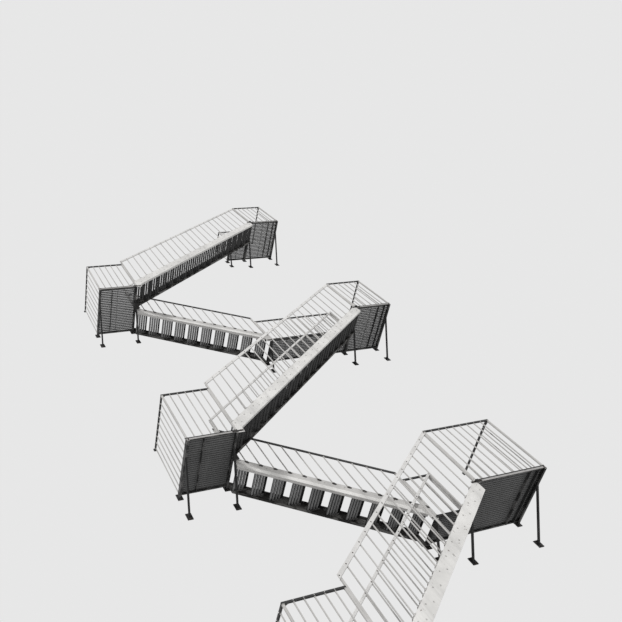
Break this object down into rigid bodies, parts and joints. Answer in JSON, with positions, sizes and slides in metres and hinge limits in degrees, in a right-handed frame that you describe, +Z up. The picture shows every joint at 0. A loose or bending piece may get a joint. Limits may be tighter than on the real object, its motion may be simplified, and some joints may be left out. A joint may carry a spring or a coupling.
{
  "type": "fire escape stair",
  "caption": "Open steel fire escape stair for a wall, with switchback flights in two lanes, grating landings on struts, and barred guards.",
  "frame": {"origin": "centre of the back face of the lower wall plate under the left strut of the first right landing", "axes": "+X along the wall to the right as seen from the street, +Y into the wall, +Z up; the wall face is y = 0"},
  "size_m": [6.47, 1.295, 18.365],
  "materials": {
    "light_paint": "weathered",
    "rail_paint": "weathered",
    "grating": "weathered",
    "guard_paint": "weathered",
    "dark_paint": "weathered"
  },
  "bodies": {
    "root": {"extension_frames": "dark_paint", "flight1_railings": "rail_paint", "flight1_stringers": "light_paint", "flight1_treads": "grating", "flight2_railings": "rail_paint", "flight2_stringers": "light_paint", "flight2_treads": "grating", "flight3_railings": "rail_paint", "flight3_stringers": "light_paint", "flight3_treads": "grating", "flight4_railings": "rail_paint", "flight4_stringers": "light_paint", "flight4_treads": "grating", "flight5_railings": "rail_paint", "flight5_stringers": "light_paint", "flight5_treads": "grating", "flight6_railings": "rail_paint", "flight6_stringers": "light_paint", "flight6_treads": "grating", "flight7_railings": "rail_paint", "flight7_stringers": "light_paint", "flight7_treads": "grating", "ground_feet": "dark_paint", "left_landing1_floor": "grating", "left_landing1_frame": "dark_paint", "left_landing1_guard": "guard_paint", "left_landing2_floor": "grating", "left_landing2_frame": "dark_paint", "left_landing2_guard": "guard_paint", "left_landing3_floor": "grating", "left_landing3_frame": "dark_paint", "left_landing3_guard": "guard_paint", "right_landing1_floor": "grating", "right_landing1_frame": "dark_paint", "right_landing1_guard": "guard_paint", "right_landing2_floor": "grating", "right_landing2_frame": "dark_paint", "right_landing2_guard": "guard_paint", "right_landing3_floor": "grating", "right_landing3_frame": "dark_paint", "right_landing3_guard": "guard_paint", "right_landing4_floor": "grating", "right_landing4_frame": "dark_paint", "right_landing4_guard": "guard_paint", "wall_brackets": "dark_paint"}
  },
  "joints": []
}
